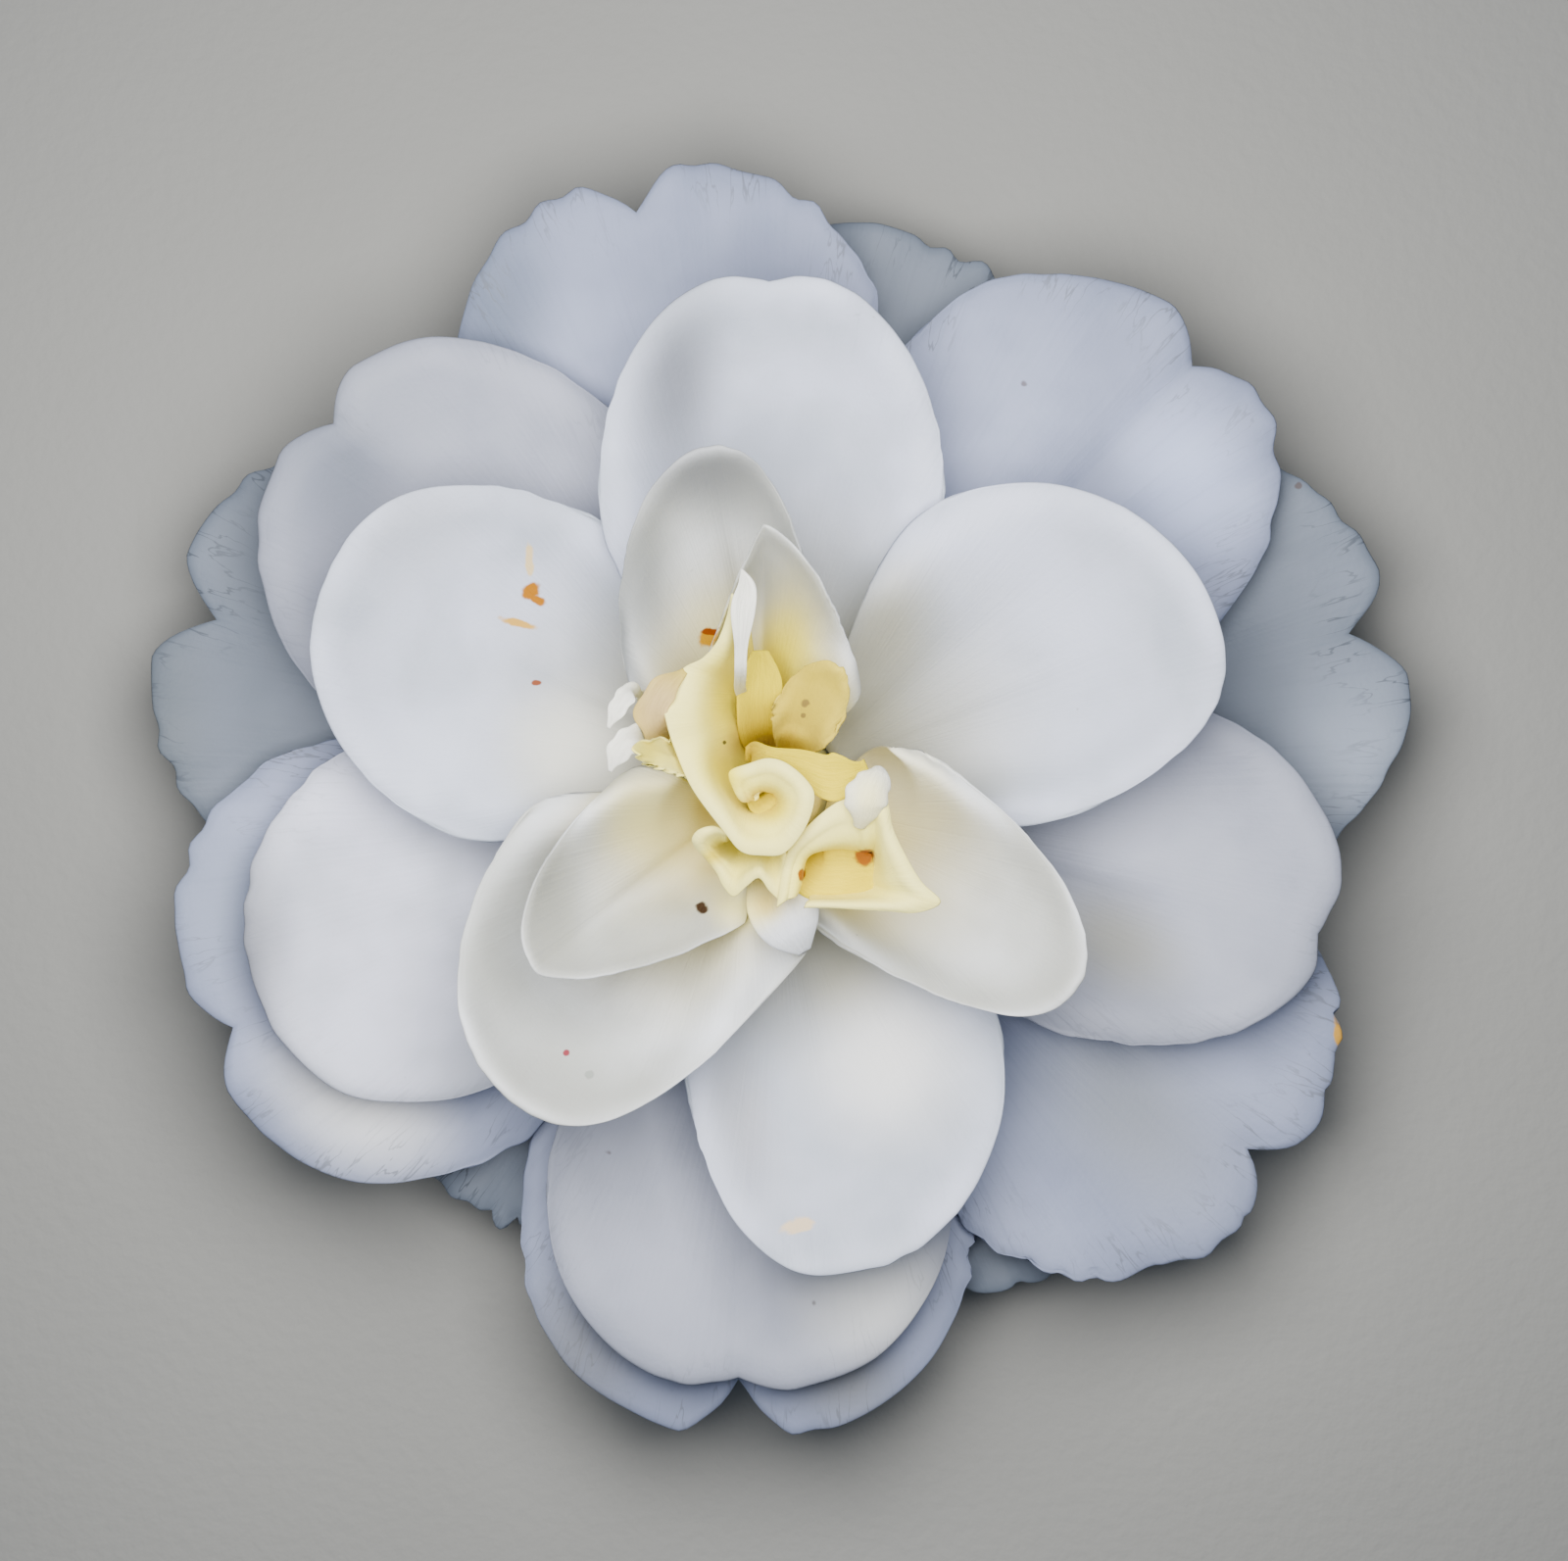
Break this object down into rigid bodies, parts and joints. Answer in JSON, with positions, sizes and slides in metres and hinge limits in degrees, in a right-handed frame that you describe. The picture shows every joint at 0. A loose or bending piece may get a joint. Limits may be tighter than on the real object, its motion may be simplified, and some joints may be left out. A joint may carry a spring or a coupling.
{
  "type": "camellia flower",
  "caption": "White double camellia flower, as picked: broad layered petals open round cupped heart petals and small curled creamy petaloids, on a green calyx and a short stalk.",
  "frame": {"origin": "middle of the stalk's cut face, which the flower rests on", "axes": "+Z along the flower's axis, out of its face; +X and +Y lie in the surface it rests on"},
  "size_m": [0.0994, 0.0993, 0.0378],
  "materials": {
    "stalk_green": "matte",
    "sepal_green": "matte",
    "petal_white": "satin",
    "petaloid_cream": "satin"
  },
  "bodies": {
    "root": {"receptacle": "stalk_green", "calyx": "sepal_green", "guard_petal_1": "petal_white", "guard_petal_2": "petal_white", "guard_petal_3": "petal_white", "guard_petal_4": "petal_white", "guard_petal_5": "petal_white", "second_petal_1": "petal_white", "second_petal_2": "petal_white", "second_petal_3": "petal_white", "second_petal_4": "petal_white", "second_petal_5": "petal_white", "third_petal_1": "petal_white", "third_petal_2": "petal_white", "third_petal_3": "petal_white", "third_petal_4": "petal_white", "inner_petal_1": "petal_white", "inner_petal_2": "petal_white", "inner_petal_3": "petal_white", "inner_petal_4": "petal_white", "heart_petal_1": "petal_white", "heart_petal_2": "petal_white", "heart_petal_3": "petal_white", "core_petal_1": "petal_white", "core_petal_2": "petal_white", "petaloid_1": "petaloid_cream", "petaloid_2": "petaloid_cream", "petaloid_3": "petaloid_cream", "petaloid_4": "petaloid_cream", "petaloid_5": "petaloid_cream", "petaloid_funnel": "petaloid_cream", "petaloid_curl": "petaloid_cream"}
  },
  "joints": []
}
